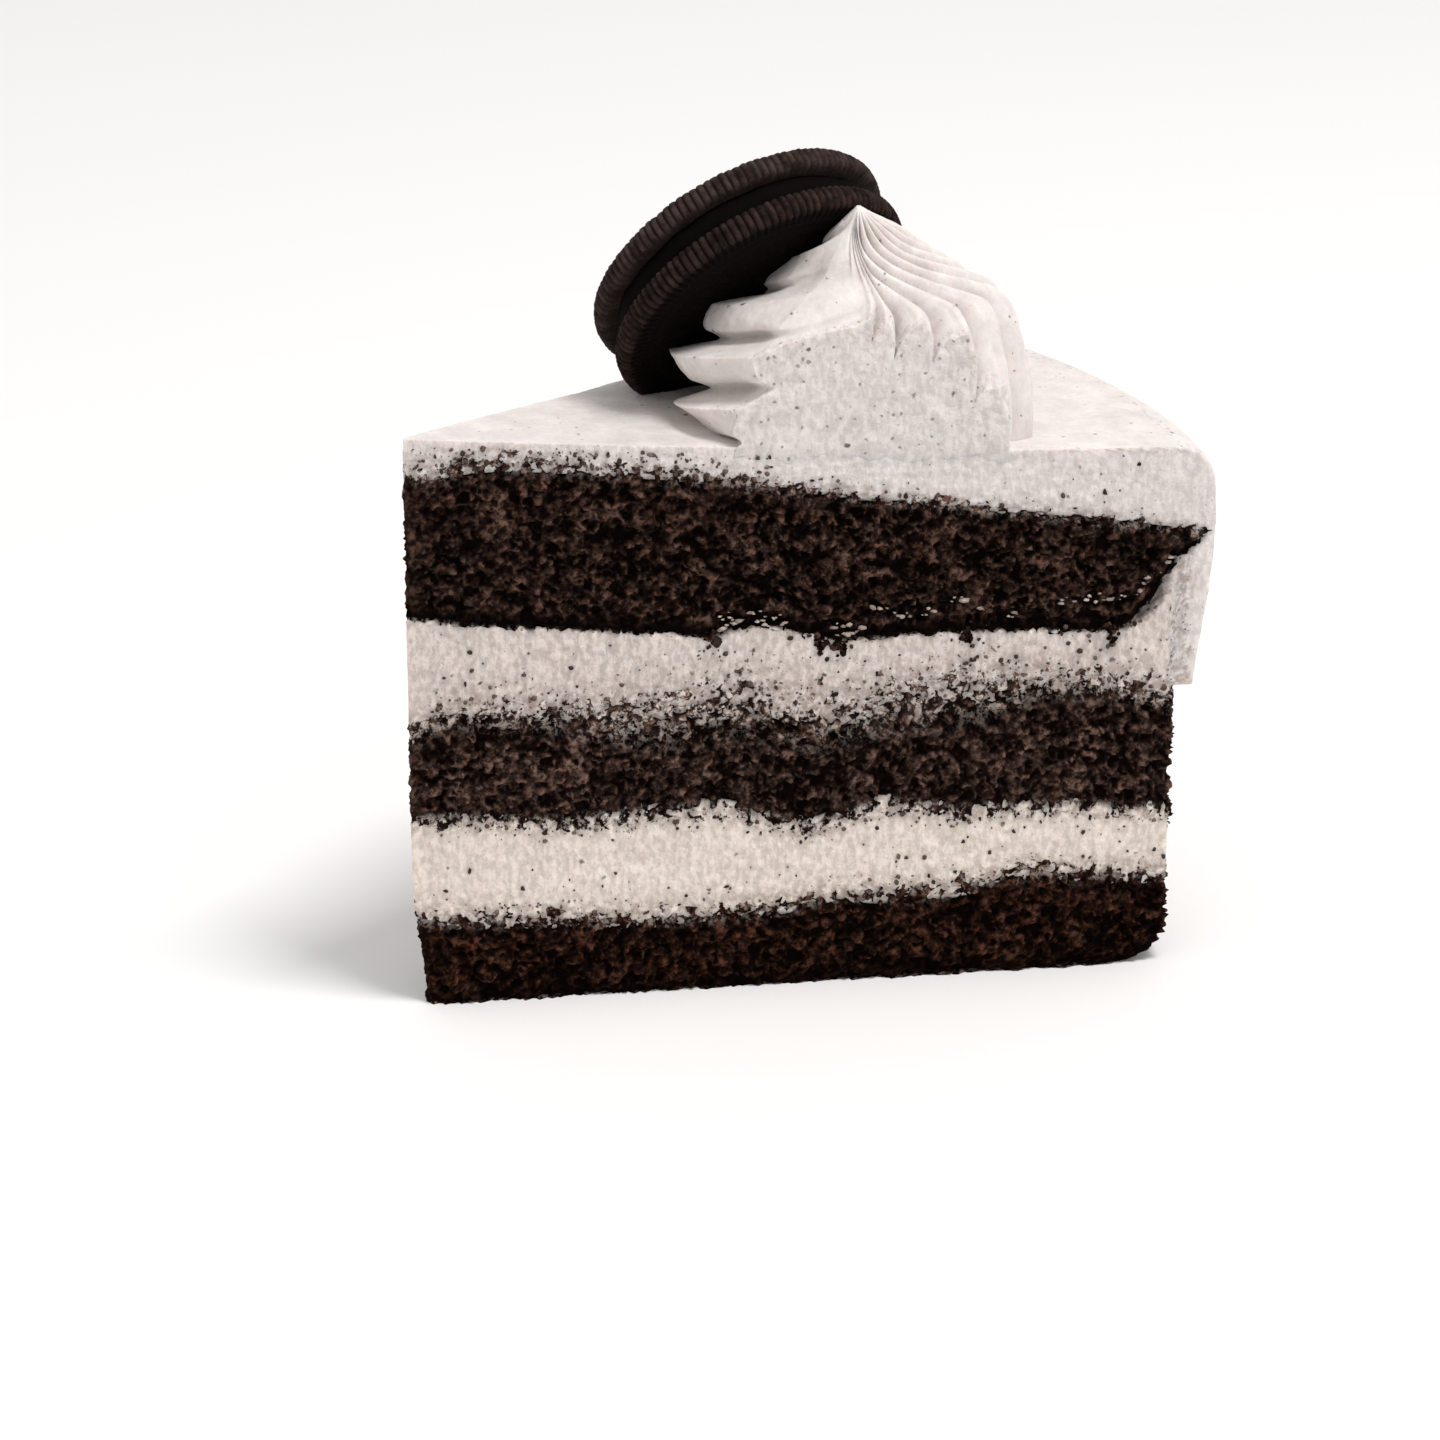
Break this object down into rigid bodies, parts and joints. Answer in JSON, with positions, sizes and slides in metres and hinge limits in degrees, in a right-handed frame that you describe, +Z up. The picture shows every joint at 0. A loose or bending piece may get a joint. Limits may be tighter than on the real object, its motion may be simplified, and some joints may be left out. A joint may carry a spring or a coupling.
{
  "type": "cookies and cream cake slice",
  "caption": "Wedge slice of chocolate layer cake with cream fillings, speckled frosting, a piped swirl cut flat on one side and a round sandwich biscuit leaning on it.",
  "frame": {"origin": "under the middle of the bounding box, on the plate", "axes": "+X along the front cut face from the tip to the outer side, +Y from the front cut face into the slice, +Z up"},
  "size_m": [0.1129, 0.0803, 0.1159],
  "materials": {
    "sponge": "dry dark chocolate crumb",
    "cream_filling": "whipped cream filling with dark biscuit crumbs",
    "frosting": "smooth off-white frosting with fine dark specks",
    "wafer": "dry baked dark cocoa biscuit",
    "biscuit_filling": "dark soft biscuit filling"
  },
  "bodies": {
    "root": {"sponge_bottom": "sponge", "cream_lower": "cream_filling", "sponge_middle": "sponge", "cream_upper": "cream_filling", "sponge_top": "sponge", "frosting": "frosting", "swirl": "frosting", "wafer_front": "wafer", "biscuit_filling": "biscuit_filling", "wafer_back": "wafer"}
  },
  "joints": []
}
